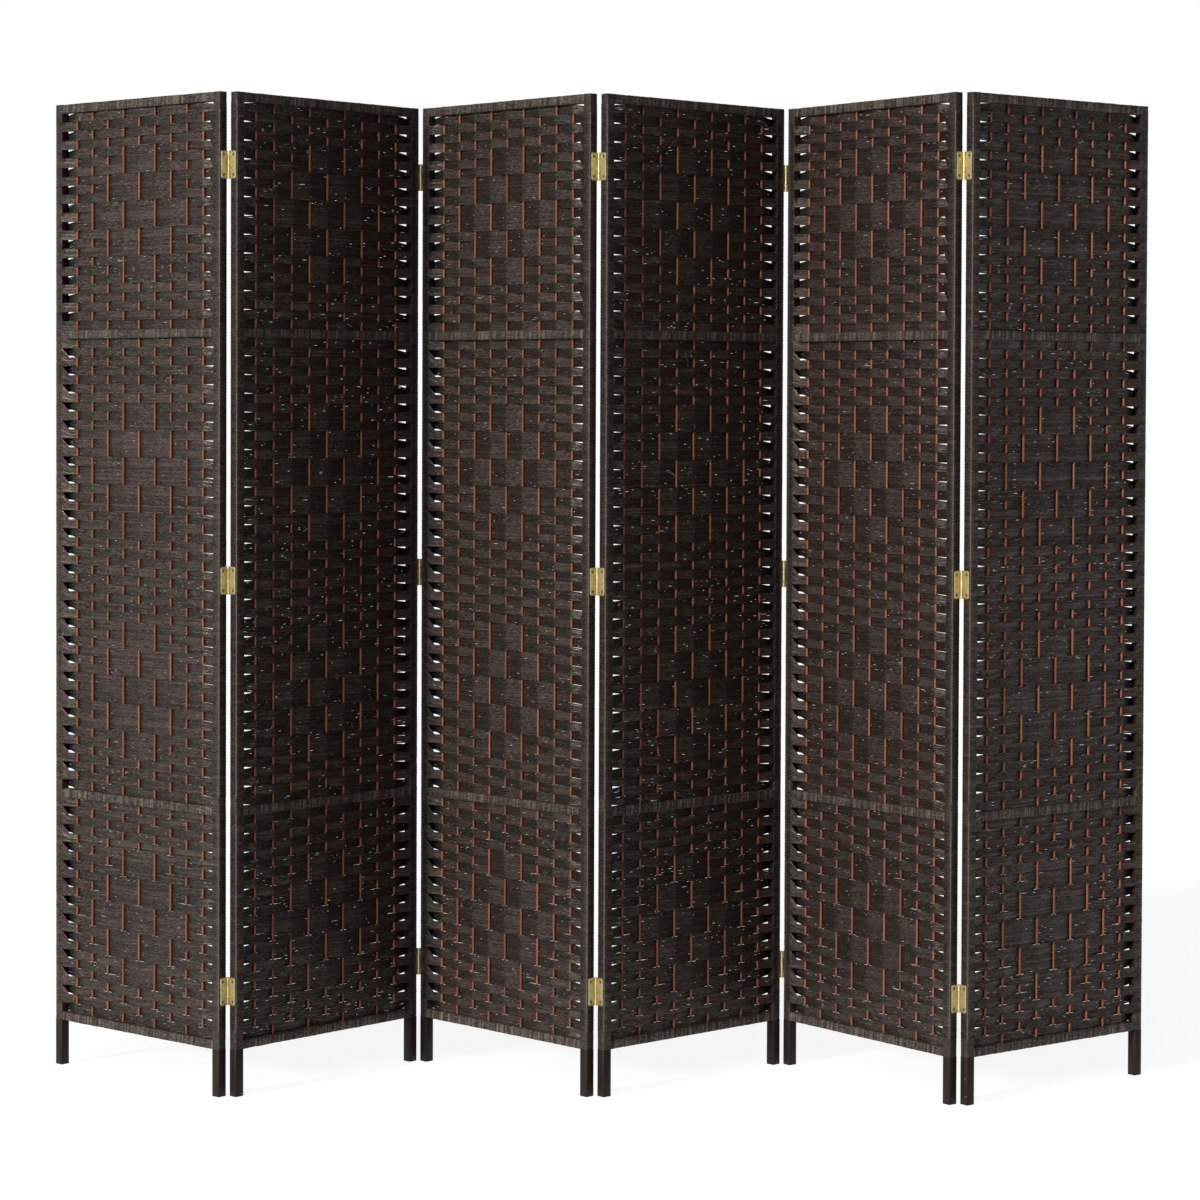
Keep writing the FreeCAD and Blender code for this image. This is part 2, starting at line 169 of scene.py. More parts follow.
def tube_mesh(name, rings, tone, wear_and_highlight, rng, loop=False):
    """Closed tubes from rings[tube, ring, corner], in metres. Tone and wear are attributes for materials; on
    woven rows the wear also paints a highlight along the stiles' outer corners.

    The map Strip runs in metres along and around a tube; the map OFBake lays the tubes side by side."""
    count, length, corners = rings.shape[:3]
    index = np.arange(count * length * corners).reshape(count, length, corners)
    first, second = (index, np.roll(index, -1, 1)) if loop else (index[:, :-1], index[:, 1:])
    quads = np.stack([first, np.roll(first, -1, 2), np.roll(second, -1, 2), second], -1)
    centres = rings.mean(2)
    steps = np.linalg.norm(np.diff(centres, axis=1, append=centres[:, :1]), axis=2)
    run = np.concatenate([np.zeros((count, 1)), np.cumsum(steps, 1)], 1)
    around = np.linalg.norm(rings[:, 0] - np.roll(rings[:, 0], 1, 1), axis=2).sum(1)
    spans = quads.shape[1]
    along = np.stack([run[:, :spans], run[:, :spans], run[:, 1:spans + 1], run[:, 1:spans + 1]], -1)
    side = np.arange(corners)[:, None] + np.array([0, 1, 1, 0])
    u = np.broadcast_to(along[:, :, None, :], quads.shape)
    v = np.broadcast_to(side / corners, quads.shape)
    shift = rng.uniform(0, 40, (count, 1, 1, 1))
    strip = np.stack([u + shift, v * around[:, None, None, None] + shift], -1)
    number = np.arange(count)[:, None, None, None]
    bake = bake_map(u / run.max(), number, v, count)
    loops, starts = quads.reshape(-1), np.arange(0, quads.size, 4)
    strip, bake = strip.reshape(-1, 2), bake.reshape(-1, 2)
    if not loop:
        caps = np.concatenate([index[:, 0, ::-1], index[:, -1]])
        starts = np.concatenate([starts, quads.size + np.arange(len(caps)) * corners])
        loops = np.concatenate([loops, caps.reshape(-1)])
        cap_side = np.arange(corners) / corners
        ends = np.concatenate([np.zeros(count), run[:, spans]])
        tubes = np.tile(np.arange(count), 2)
        cap_u = np.repeat(ends, corners)
        cap_v = np.concatenate([np.tile(cap_side[::-1], count), np.tile(cap_side, count)])
        cap_bake = bake_map(cap_u / run.max(), np.repeat(tubes, corners), cap_v, count)
        strip = np.concatenate([strip, np.stack([cap_u, cap_v * around.mean()], -1)])
        bake = np.concatenate([bake, cap_bake])
    mesh = bpy.data.meshes.new(name)
    mesh.vertices.add(rings.size // 3)
    mesh.vertices.foreach_set("co", rings.astype(np.float32).ravel())
    mesh.loops.add(len(loops))
    mesh.loops.foreach_set("vertex_index", loops.astype(np.int32))
    mesh.polygons.add(len(starts))
    mesh.polygons.foreach_set("loop_start", starts.astype(np.int32))
    mesh.update(calc_edges=True)
    mesh.shade_smooth()
    mesh.set_sharp_from_angle(angle=math.radians(TUBE_SHARP))
    for map_name, values in (("Strip", strip), ("OFBake", bake)):
        layer = mesh.uv_layers.new(name=map_name, do_init=False)
        layer.uv.foreach_set("vector", values.astype(np.float32).ravel())
    for key, values in (("tone", tone), ("wear_and_highlight", wear_and_highlight)):
        values = np.broadcast_to(values, (count, length))
        attribute = mesh.attributes.new(key, "FLOAT", "POINT")
        attribute.data.foreach_set("value", np.repeat(values.reshape(-1), corners).astype(np.float32))
    return mesh


def lathe(bm, profile, segments, closed):
    """Faces of a profile of (radius, z) points turned about Z. An open profile is capped."""
    rings = [[bm.verts.new((r * math.cos(a), r * math.sin(a), z)) for r, z in profile]
             for a in (2 * math.pi * i / segments for i in range(segments))]
    last = len(profile) if closed else len(profile) - 1
    for ring, following in zip(rings, rings[1:] + rings[:1]):
        for i in range(last):
            j = (i + 1) % len(profile)
            bm.faces.new((ring[i], following[i], following[j], ring[j]))
    if not closed:
        bm.faces.new([ring[0] for ring in reversed(rings)])
        bm.faces.new([ring[-1] for ring in rings])


def filled(bm, outlines):
    """Faces that fill the first outline around the others, which are holes."""
    edges, loops = [], []
    for points in outlines:
        verts = [bm.verts.new(point) for point in points]
        loops.append(verts)
        edges += [bm.edges.new(pair) for pair in zip(verts, verts[1:] + verts[:1])]
    made = bmesh.ops.triangle_fill(bm, use_beauty=True, use_dissolve=False, edges=edges)
    return [part for part in made["geom"] if isinstance(part, bmesh.types.BMFace)], loops


def circle(radius, y, z, x):
    """Points of a circle across the X axis."""
    angles = (2 * math.pi * i / HOLE_SEGMENTS for i in range(HOLE_SEGMENTS))
    return [(x, y + radius * math.cos(a), z + radius * math.sin(a)) for a in angles]


def finished(bm, name):
    bmesh.ops.recalc_face_normals(bm, faces=bm.faces)
    mesh = bpy.data.meshes.new(name)
    bm.to_mesh(mesh)
    bm.free()
    mesh.shade_smooth()
    mesh.set_sharp_from_angle(angle=math.radians(METAL_SHARP))
    return mesh


def copies(name, template, matrices):
    """One mesh of a template's copies."""
    bm = bmesh.new()
    for matrix in matrices:
        known = len(bm.verts)
        bm.from_mesh(template)
        bm.verts.ensure_lookup_table()
        bmesh.ops.transform(bm, matrix=matrix, verts=bm.verts[known:])
    return finished(bm, name)


def piece(mesh, material, body, node):
    """An object of the screen that rides on a body and stands for a CAD node."""
    thing = bpy.data.objects.new(mesh.name, mesh)
    bpy.context.scene.collection.objects.link(thing)
    mesh.materials.append(material)
    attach(thing, body)
    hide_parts(node)


# Materials


class Nodes:
    """A material's node tree, with short calls to add and join nodes."""

    def __init__(self, name):
        self.material = bpy.data.materials.new(name)
        self.material.use_nodes = True
        self.tree = self.material.node_tree
        self.shader = self.tree.nodes["Principled BSDF"]

    def add(self, kind, inputs=None, **settings):
        made = self.tree.nodes.new(f"ShaderNode{kind}")
        for key, value in settings.items():
            setattr(made, key, value)
        for key, value in (inputs or {}).items():
            self.put(made.inputs[key], value)
        return made

    def put(self, socket, value):
        if isinstance(value, bpy.types.NodeSocket):
            self.tree.links.new(value, socket)
        else:
            socket.default_value = value

    def shade(self, **inputs):
        for key, value in inputs.items():
            self.put(self.shader.inputs[key.replace("_", " ")], value)

    def attribute(self, name):
        return self.add("Attribute", attribute_name=name).outputs["Fac"]

    def noise(self, vector, scale, detail=4.0, roughness=0.6):
        return self.add("TexNoise", {"Vector": vector, "Scale": scale, "Detail": detail,
                                     "Roughness": roughness}).outputs["Fac"]

    def stretched(self, vector, scale):
        return self.add("Mapping", {"Vector": vector, "Scale": scale}).outputs["Vector"]

    def math(self, operation, first, second, third=0.0):
        made = self.add("Math", {0: first, 1: second, 2: third}, operation=operation)
        return made.outputs[0]

    def ramp(self, factor, stops):
        made = self.add("ValToRGB", {"Fac": factor})
        elements = made.color_ramp.elements
        for spot, _ in stops[1:-1]:
            elements.new(spot)
        for element, (spot, colour) in zip(elements, stops):
            element.position, element.color = spot, (*colour, 1)
        return made.outputs["Color"]

    def mix(self, factor, first, second):
        made = self.add("Mix", {"Factor": factor}, data_type="RGBA")
        sockets = [s for s in made.inputs if s.type == "RGBA"]
        for socket, value in zip(sockets, (first, second)):
            self.put(socket, value if isinstance(value, bpy.types.NodeSocket) else (*value, 1))
        return next(s for s in made.outputs if s.type == "RGBA")

    def bump(self, height, distance, strength=1.0):
        return self.add("Bump", {"Height": height, "Distance": distance,
                                 "Strength": strength}).outputs["Normal"]


def fibre_material(name, dark, middle, light, worn):
    """Twisted paper cord: streaks along it, the lay of its twist, pale rubbed spots, a painted highlight in
    the same pale colour along the stiles' outer corners, and a sheen in strands.

    The cord's own colour is nearly black, and the sheen is most of what shows."""
    n = Nodes(name)
    strip = n.add("UVMap", uv_map="Strip").outputs["UV"]
    tone = n.attribute("tone")
    streaks = n.noise(n.stretched(strip, (45, 1100, 1)), 1.0)
    blotches = n.noise(n.stretched(strip, (24, 90, 1)), 1.0, 2.0)
    flecks = n.noise(n.stretched(strip, (320, 900, 1)), 1.0, 2.0)
    strands = n.noise(n.stretched(strip, (110, 620, 1)), 1.0, 3.0)
    lay = n.add("TexWave", {"Vector": n.stretched(strip, (420, 560, 1)), "Scale": 1.0, "Distortion": 1.5,
                            "Detail": 2.0}, wave_type="BANDS", bands_direction="DIAGONAL").outputs["Fac"]
    value = n.math("MULTIPLY_ADD", streaks, 0.7, n.math("MULTIPLY", tone, 0.7))
    value = n.math("MULTIPLY_ADD", blotches, 0.3, n.math("SUBTRACT", value, 0.6))
    value = n.math("MULTIPLY_ADD", flecks, 0.8, n.math("SUBTRACT", value, 0.15))
    colour = n.ramp(value, [(0.1, dark), (0.5, middle), (0.9, light)])
    colour = n.mix(n.math("MULTIPLY", lay, 0.22), colour, dark)
    # Pale rubbed colour where the wear attribute is high: wear on bindings and rails, and a painted
    # highlight along the stiles' outer corners
    rubbed_and_highlight = n.math("MULTIPLY", n.attribute("wear_and_highlight"), n.math("MULTIPLY_ADD", streaks, 1.3, -0.15))
    colour = n.mix(rubbed_and_highlight, colour, worn)
    height = n.math("MULTIPLY_ADD", flecks, 1.5, n.math("MULTIPLY_ADD", lay, 0.12, streaks))
    rough = n.math("MULTIPLY_ADD", value, -0.4, 0.78)
    n.shade(Base_Color=colour, Roughness=rough, Normal=n.bump(height, 0.0001, 0.5))
    gleam = n.math("MULTIPLY_ADD", flecks, 0.3, n.math("MULTIPLY", strands, 0.7))
    sheen = n.ramp(gleam, [(0.38, (0.08, 0.063, 0.055)), (0.5, (0.38, 0.3, 0.265)),
                           (0.58, (0.85, 0.7, 0.63)), (0.64, (1.0, 0.87, 0.8))])
    n.shade(IOR=1.5, Specular_IOR_Level=1.0, Specular_Tint=sheen)
    return n.material


def wood_material(name, dark, light, worn, gloss):
    """Stained wood with its grain along the piece."""
    n = Nodes(name)
    strip = n.add("UVMap", uv_map="Strip").outputs["UV"]
    grain = n.noise(n.stretched(strip, (14, 900, 1)), 1.0, 6.0)
    bands = n.noise(n.stretched(strip, (5, 60, 1)), 1.0, 2.0)
    value = n.math("MULTIPLY_ADD", grain, 0.7, n.math("MULTIPLY", bands, 0.4))
    value = n.math("MULTIPLY_ADD", n.attribute("tone"), 0.3, n.math("SUBTRACT", value, 0.2))
    colour = n.ramp(value, [(0.25, dark), (0.75, light)])
    specks = n.math("GREATER_THAN", n.noise(n.stretched(strip, (260, 260, 1)), 1.0, 1.0), 0.76)
    colour = n.mix(n.math("MULTIPLY", n.attribute("wear_and_highlight"), specks), colour, worn)
    n.shade(Base_Color=colour, Roughness=n.math("MULTIPLY_ADD", grain, 0.25, gloss),
            Normal=n.bump(grain, 0.00015, 0.5),
            IOR=1.3, Specular_IOR_Level=0.5, Specular_Tint=(1.0, 0.8, 0.7, 1))
    return n.material


def brass_material(name, bright, dull, spots, roughness):
    """Plated brass: brushed, slightly tarnished and scuffed."""
    n = Nodes(name)
    point = n.add("TexCoord").outputs["Object"]
    tarnish = n.noise(point, 160.0, 5.0)
    brushed = n.noise(n.stretched(point, (1500, 1500, 90)), 1.0, 3.0)
    scuffs = n.noise(n.stretched(point, (500, 500, 900)), 1.0, 2.0)
    colour = n.ramp(tarnish, [(0.3, bright), (0.75, dull)])
    colour = n.mix(n.math("MULTIPLY", n.math("GREATER_THAN", scuffs, 0.66), 0.5), colour, spots)
    rough = n.math("MULTIPLY_ADD", brushed, 0.2, n.math("MULTIPLY_ADD", tarnish, 0.2, roughness))
    n.shade(Base_Color=colour, Roughness=rough, Normal=n.bump(brushed, 0.00004, 0.5), Metallic=1.0)
    return n.material


def dowel_material(name):
    """Pale turned beech. The dowels are inside the joints."""
    n = Nodes(name)
    grain = n.noise(n.stretched(n.add("TexCoord").outputs["Object"], (400, 400, 900)), 1.0, 5.0)
    n.shade(Base_Color=n.ramp(grain, [(0.3, (0.36, 0.22, 0.11)), (0.7, (0.55, 0.38, 0.22))]),
            Roughness=n.math("MULTIPLY_ADD", grain, 0.2, 0.5), Normal=n.bump(grain, 0.0001))
    return n.material


# Pieces of a panel


def shown_stakes(row, first_shown, diamonds):
    """Which stakes lie in front of a row's strip. A diamond holds its stakes for a few rows."""
    shown = [(i + row + first_shown) % 2 == 0 for i in range(STAKES)]
    for first in diamonds:
        step = (row - first) // ROWS_PER_STEP
        if 0 <= step < len(DIAMOND):
            held = [STAKES // 2 + offset for offset in DIAMOND[step]]
            for i in range(held[0], held[-1] + 1):
                shown[i] = i in held
    return shown


def ring_weights(knots, reach, between):
    """Weights of a path's knots in its rings: three at each bend, and some between two bends.

    reach is how far from each knot its bend starts; between gives the places along each span."""
    count = len(knots)
    spans = np.linalg.norm(np.diff(knots, axis=0), axis=1)
    rows = []

    def ring(i, j, share):
        weights = np.zeros(count)
        weights[i] += 1 - share
        weights[j] += share
        return weights

    for i in range(count):
        if 0 < i < count - 1 and reach[i] > 0:
            before = ring(i, i - 1, reach[i] / spans[i - 1])
            after = ring(i, i + 1, reach[i] / spans[i])
            rows += [before, (before + 2 * ring(i, i, 0) + after) / 4, after]
        else:
            rows.append(ring(i, i, 0))
        if i < count - 1:
            rows += [ring(i, i + 1, share) for share in between[i]]
    return np.array(rows)


def wander(rng, shape, size):
    """Smooth random offsets along the last axis."""
    steps = rng.normal(0, 1, shape)
    kernel = np.array([0.25, 0.5, 0.75, 1, 0.75, 0.5, 0.25])
    smooth = np.apply_along_axis(np.convolve, -1, steps, kernel / np.linalg.norm(kernel), "same")
    return smooth * size


def cord_rings(path, low, high, rng, gaps=0.0, loop=False):
    """Cords stacked between two heights along a path: rings[row, cord, ring, corner].

    path[row, ring] is in plan; gaps is how often two cords part for a moment."""
    rows, length = path.shape[:2]
    if loop:
        ahead, behind = np.roll(path, -1, 1), np.roll(path, 1, 1)
        along = ahead - behind
    else:
        along = np.gradient(path, axis=1)
    along /= np.linalg.norm(along, axis=2, keepdims=True)
    outward = np.stack([along[..., 1], -along[..., 0]], -1)
    share = np.arange(CORDS + 1)[None, :, None] / CORDS
    edges = low[:, None] + (high - low)[:, None] * share
    drift = wander(rng, (rows, CORDS + 1, length), CORD_DRIFT)
    drift[:, [0, -1]] *= OUTER_DRIFT_SHARE
    edges = edges + drift
    often = gaps * rng.uniform(*SLIT_VARIETY, (rows, 1, 1))
    parted = rng.random(edges.shape) < often
    opening = np.where(parted, SLIT_LEAST + SLIT_MORE * rng.random(edges.shape) ** 2, 0)
    bottom = edges[:, :-1] - CORD_OVERLAP + opening[:, :-1]
    top = edges[:, 1:] + CORD_OVERLAP - opening[:, 1:]
    middle = (bottom + top) / 2 + rng.normal(0, CORD_RIDGE_DRIFT, bottom.shape)
    half = STRIP_THICKNESS / 2 * rng.uniform(*CORD_FULLNESS, (rows, CORDS, 1))
    lift = wander(rng, (rows, CORDS, length), CORD_LIFT)
    centre = path[:, None] + outward[:, None] * lift[..., None]
    bulge = outward[:, None] * half[..., None]
    corners = [np.concatenate([plan, z[..., None]], -1) for plan, z in
               ((centre, top), (centre + bulge, middle), (centre, bottom), (centre - bulge, middle))]
    return np.stack(corners, -2)


def strip_knots(shown, side):
    """A row's path in plan: round the stiles on one side, and behind the stakes that show."""
    crest = STAKE_DIAMETER / 2 + STAKE_GAP + STRIP_THICKNESS / 2
    stakes = [((i - (STAKES - 1) / 2) * STAKE_PITCH, BACK * crest if show else FRONT * crest)
              for i, show in enumerate(shown)]
    outer, inner = STILE_CENTRE + WRAP_FACE, STILE_CENTRE - WRAP_FACE
    tuck = WRAP_FACE * (FRONT_TUCK if side == FRONT else BACK_TUCK)
    wrap = [(outer, tuck), (outer, side * WRAP_FACE), (inner, side * WRAP_FACE)]
    return [(-x, y) for x, y in wrap] + stakes + wrap[::-1]


def woven_rows(rows, side, name, spreads, bottom, top, rng):
    """Rows of strip that pass the stiles on one side: rings, and how pale each ring is rubbed, which at the
    stiles' outer corners is partly wear and partly a painted highlight.
    """
    count, *pattern = FIELDS[name]
    pitch = (top - bottom) / count
    knots = np.array([strip_knots(shown_stakes(row, *pattern), side) for row in rows])
    (left_share, left_way), (right_share, right_way) = spreads
    fan = [knots[:, i] + (knots[:, j] - knots[:, i]) * share
           for i, j, share in ((2, 3, left_share), (-3, -4, right_share))]
    left_fan, right_fan = (points[:, None] for points in fan)
    knots = np.concatenate([knots[:, :3], left_fan, knots[:, 3:-3], right_fan, knots[:, -3:]], 1)
    stile_reach = [0, WRAP_REACH, WRAP_REACH, 0]
    reach = stile_reach + [STAKE_REACH] * STAKES + stile_reach
    weights = ring_weights(knots[0], reach, LEFT_SPANS + [STAKE_SPAN] * (STAKES - 1) + RIGHT_SPANS)
    path = np.einsum("rk,nkc->nrc", weights, knots)
    raised, lowered, bend = np.zeros((3, knots.shape[1]))
    raised[4:-4], lowered[4:-4] = STAKE_OVERLAP, -STAKE_OVERLAP
    # The stiles' outer corners get the pale rubbed colour: partly wear, partly a painted highlight
    bend[1] = bend[-2] = 1
    if side == FRONT:
        for ends, way in ((slice(0, 3), left_way), (slice(-3, None), right_way)):
            raised[ends], lowered[ends] = (pitch, 0) if way == UP else (0, -pitch)
    else:
        for ends, (above, below) in zip((slice(0, 4), slice(-4, None)), NARROWS[name]):
            raised[ends], lowered[ends] = -above, below
    raised, lowered, bend = (weights @ values for values in (raised, lowered, bend))
    base = np.array([top - (row + 1) * pitch for row in rows])[:, None]
    low = np.clip(base + lowered, bottom - STAKE_OVERLAP, top)
    high = np.clip(base + pitch + raised, low + pitch / 2, top + RAIL_HEIGHT)
    return cord_rings(path, low, high, rng, gaps=SLITS), np.clip(bend, 0, 1) ** WEAR_AND_HIGHLIGHT_SHARPNESS


def woven_field(k, name, matrix, rng):
    """A woven field: rows of strip before and behind the stiles, in turn."""
    index = list(FIELDS).index(name)
    count, *pattern = FIELDS[name]
    bottom, top = RAIL_BASES[index] + RAIL_HEIGHT, RAIL_BASES[index + 1]
    rows_on = {FRONT: [], BACK: []}
    for row in range(count):
        rows_on[FRONT if shown_stakes(row, *pattern)[0] else BACK].append(row)
    spreads = SPREADS[name] if k % 2 else EVEN_PANEL_SPREADS
    cord_spread, cord_drift, row_spread = 0.2, 0.16, 0.08
    for side, rows in rows_on.items():
        rings, wear_and_highlight = woven_rows(rows, side, name, spreads, bottom, top, rng)
        shape = (len(rows) * CORDS, *rings.shape[2:])
        tone = rng.normal(MIDDLE_TONE, cord_spread, (shape[0], 1)) + wander(rng, shape[:2], cord_drift)
        tone += np.repeat(rng.normal(0, row_spread, (len(rows), 1)), CORDS, 0)
        mesh = tube_mesh(f"panel_{k}_{name}_{'front' if side == FRONT else 'back'}_rows",
                         place(rings.reshape(shape), matrix), tone, wear_and_highlight, rng)
        piece(mesh, fibre, f"panel_{k}", f"panel_{k}_weave")


def rounded_square(side, corner):
    """Corner points of a square with rounded corners, anticlockwise from the front right."""
    half = side / 2 - corner
    turns = [(half, -half, -90), (half, half, 0), (-half, half, 90), (-half, -half, 180)]
    angles = [(x, y, math.radians(start + 90 * i / (CORNER_STEPS - 1)))
              for x, y, start in turns for i in range(CORNER_STEPS)]
    return np.array([(x + corner * math.cos(a), y + corner * math.sin(a)) for x, y, a in angles])


def stile_core(k, side_name, x, matrix, rng):
    """A stile's wood: bare at the leg, and thinner above, where the strip goes round it."""
    bevel_height, foot_bevel, top_bevel, top_gap = 0.8, 1.2, 1, 0.3
    worn_height, shoulder, ledge = 40.0, RAIL_BASES[0] + 1, 1.5
    core_start, core_levels = 300, 6
    levels = [(0.0, LEG_SIDE - foot_bevel), (bevel_height, LEG_SIDE), (worn_height, LEG_SIDE),
              (shoulder, LEG_SIDE), (shoulder + ledge, CORE_SIDE)]
    levels += [(z, CORE_SIDE) for z in np.linspace(core_start, PANEL_HEIGHT - bevel_height, core_levels)]
    levels += [(PANEL_HEIGHT - top_gap, CORE_SIDE - top_bevel)]
    squares = [(rounded_square(size, STILE_CORNER), z) for z, size in levels]
    sections = [np.column_stack([square, np.full(len(square), z)]) for square, z in squares]
    rings = np.array(sections)[None] + (x, 0, 0)
    leg_wear = [0.9, 0.9, 0.5, 0.1]
    wear_and_highlight = np.array(leg_wear + [0.0] * (len(levels) - len(leg_wear)))
    return tube_mesh(f"panel_{k}_{side_name}_stile_core", place(rings, matrix), MIDDLE_TONE, wear_and_highlight, rng)


def stile_bindings(k, side_name, x, matrix, rng):
    """Turns of strip round a stile: at the rails, and at the end rows that no front row covers."""
    tone_spread, wear_and_highlight = 0.15, 0.15
    loop = rounded_square(2 * WRAP_FACE, STILE_CORNER) + (x, 0)
    path = np.array([point for a, b in zip(loop, np.roll(loop, -1, 0)) for point in (a, (a + b) / 2)])
    bands = [(base, base + RAIL_HEIGHT - BINDING_TRIM) for base in RAIL_BASES]
    bands += [(base + RAIL_HEIGHT - BINDING_TRIM, base + 2 * RAIL_HEIGHT) for base in RAIL_BASES[:2]]
    bands += [(RAIL_BASES[-1] - RAIL_HEIGHT, RAIL_BASES[-1])]
    path = np.repeat(path[None], len(bands), 0)
    low, high = (np.array(levels)[:, None] * np.ones(path.shape[:2]) for levels in zip(*bands))
    rings = cord_rings(path, low, high, rng, loop=True)
    rings = rings.reshape(-1, *rings.shape[2:])
    tone = rng.normal(MIDDLE_TONE, tone_spread, (len(rings), 1))
    name = f"panel_{k}_{side_name}_stile_bindings"
    return tube_mesh(name, place(rings, matrix), tone, wear_and_highlight, rng, loop=True)


def wound_rails(k, matrix, rng):
    """The four rails, wound with strip: cords run round each rail, side by side."""
    turns, end_gap, fade_length = 24, 0.1, 6
    turn_spread, lap_rise, cord_height, cord_spread = 0.1, 0.12, 0.42, 0.04
    slant_size, slant_turn = 0.9, 0.6
    tone_spread, wear_and_highlight = 0.28, 0.1
    reach = STILE_CENTRE - CORE_SIDE / 2 - end_gap
    cords = turns * CORDS
    places = np.linspace(-reach, reach, 2 * cords + 1)
    crown = np.arange(2 * cords + 1) % 2
    turn_lift = np.repeat(rng.normal(0, turn_spread, turns), 2 * CORDS)
    lap = np.tile(np.linspace(lap_rise, -lap_rise, 2 * CORDS), turns)
    swell = np.append(turn_lift + lap, 0) + crown * cord_height + rng.normal(0, cord_spread, len(places))
    section = rounded_square(1.0, 0.1)
    angle = np.arctan2(section[:, 1], section[:, 0])
    half_depth, half_height = STILE / 2 - 0.75, RAIL_HEIGHT / 2 - 0.55
    rails = []
    for base in RAIL_BASES:
        slant = slant_size * np.sin(angle + slant_turn) * rng.uniform(0.6, 1.2)
        depth = section[:, 0] * 2 * (half_depth + swell[:, None])
        height = section[:, 1] * 2 * (half_height + swell[:, None])
        fade = np.minimum(1, (reach - np.abs(places)) / fade_length)[:, None]
        along = places[:, None] + slant * fade
        rails.append(np.stack([along, depth, height + base + RAIL_HEIGHT / 2], -1))
    tone = np.repeat(rng.normal(MIDDLE_TONE, tone_spread, (len(rails), cords)), 2, 1)
    tone = np.concatenate([tone, tone[:, -1:]], 1)
    return tube_mesh(f"panel_{k}_wound_rails", place(np.array(rails), matrix), tone, wear_and_highlight, rng)


def round_stakes(k, matrix, rng):
    """Thin round stakes, a little bowed, from the bottom rail to the top rail."""
    low, high = RAIL_BASES[0] + RAIL_HEIGHT - STAKE_SEAT, RAIL_BASES[-1] + STAKE_SEAT
    rings, sides = 36, 12
    bow_size, thickness_spread, tone_spread = 0.12, 0.012, 0.25
    levels = np.linspace(low, high, rings)
    angles = np.arange(sides) * 2 * math.pi / sides
    middles = (np.arange(STAKES) - (STAKES - 1) / 2) * STAKE_PITCH
    bow = wander(rng, (STAKES, rings), bow_size)
    radius = STAKE_DIAMETER / 2 * STAKE_SHARE * (1 + wander(rng, (STAKES, rings), thickness_spread))
    x = middles[:, None, None] + bow[..., None] + radius[..., None] * np.cos(angles)
    y = radius[..., None] * np.sin(angles)
    z = np.broadcast_to(levels[:, None], x.shape)
    tone = rng.normal(MIDDLE_TONE, tone_spread, (STAKES, 1))
    return tube_mesh(f"panel_{k}_round_stakes", place(np.stack([x, y, z], -1), matrix), tone, 0.0, rng)


# Pieces of a hinge


def leaf_mesh(name, knuckles, near_edge):
    """A leaf: a plate with countersunk holes and rounded far corners, and its knuckles on the axis."""
    bm = bmesh.new()
    centre = (LEAF_REACH - LEAF_CORNER, HINGE_HEIGHT / 2 - LEAF_CORNER)
    arc = [(centre[0] + LEAF_CORNER * math.sin(a), centre[1] + LEAF_CORNER * math.cos(a))
           for a in (math.radians(degrees) for degrees in range(0, 91, 15))]
    outline = near_edge + arc + [(y, -z) for y, z in reversed(arc)]
    wide, narrow = SCREW_HEAD + HOLE_CLEARANCE, SCREW_RADIUS + HOLE_CLEARANCE
    holes = [circle(wide, SCREW_LINE, sign * SCREW_SPACING / 2, LEAF_FACE) for sign in (-1, 1)]
    faces, loops = filled(bm, [[(LEAF_FACE, y, z) for y, z in outline]] + holes)
    rim = [edge for edge in bm.edges if all(v in loops[0] for v in edge.verts) and len(edge.link_faces) == 1]
    sunk = bmesh.ops.extrude_face_region(bm, geom=faces)
    for vert in (part for part in sunk["geom"] if isinstance(part, bmesh.types.BMVert)):
        vert.co.x -= LEAF_THICKNESS
        for sign in (-1, 1):
            middle = Vector((vert.co.x, SCREW_LINE, sign * SCREW_SPACING / 2))
            if (vert.co - middle).length < wide + HOLE_CLEARANCE:
                vert.co = middle + (vert.co - middle) * narrow / wide
    rim = [edge for edge in rim if edge.is_valid]
    bmesh.ops.bevel(bm, geom=rim, offset=LEAF_BEVEL, segments=2, affect="EDGES", profile=0.6)
    for low, high in knuckles:
        profile = [(BORE_RADIUS, low), (BARREL_RADIUS - BARREL_BEVEL, low),
                   (BARREL_RADIUS, low + BARREL_BEVEL), (BARREL_RADIUS, high - BARREL_BEVEL),
                   (BARREL_RADIUS - BARREL_BEVEL, high), (BORE_RADIUS, high)]
        lathe(bm, profile, BARREL_SEGMENTS, closed=True)
    # The extrusion leaves edges and faces in another order in each run; the order of vertices holds
    bm.verts.index_update()
    for elements in (bm.edges, bm.faces):
        for i, element in enumerate(sorted(elements, key=lambda e: sorted(vert.index for vert in e.verts))):
            element.index = i
        elements.sort()
    return finished(bm, name)


def hinge_leaves():
    """The leaf with two end knuckles, and the leaf with the middle knuckle."""
    top, mid, gap = HINGE_HEIGHT / 2, MID_KNUCKLE / 2, KNUCKLE_GAP
    rolled, notched = ROLLED_EDGE, BARREL_RADIUS + KNUCKLE_GAP
    ends = leaf_mesh("end_leaf", [(-top, -mid - gap), (mid + gap, top)],
                     [(rolled, -top), (rolled, -mid - gap), (notched, -mid - gap), (notched, mid + gap),
                      (rolled, mid + gap), (rolled, top)])
    middle = leaf_mesh("mid_leaf", [(-mid, mid)],
                       [(notched, -top), (notched, -mid), (rolled, -mid), (rolled, mid),
                        (notched, mid), (notched, top)])
    return ends, middle


def pin_mesh():
    """A hinge pin with rounded ends."""
    bm = bmesh.new()
    top, r = HINGE_HEIGHT / 2, PIN_RADIUS
    bevel, edge = 0.5, 0.15
    profile = [(r - bevel, -top), (r - edge, edge - top), (r, bevel - top), (r, top - bevel),
               (r - edge, top - edge), (r - bevel, top)]
    lathe(bm, profile, PIN_SEGMENTS, closed=False)
    return finished(bm, "hinge_pin")


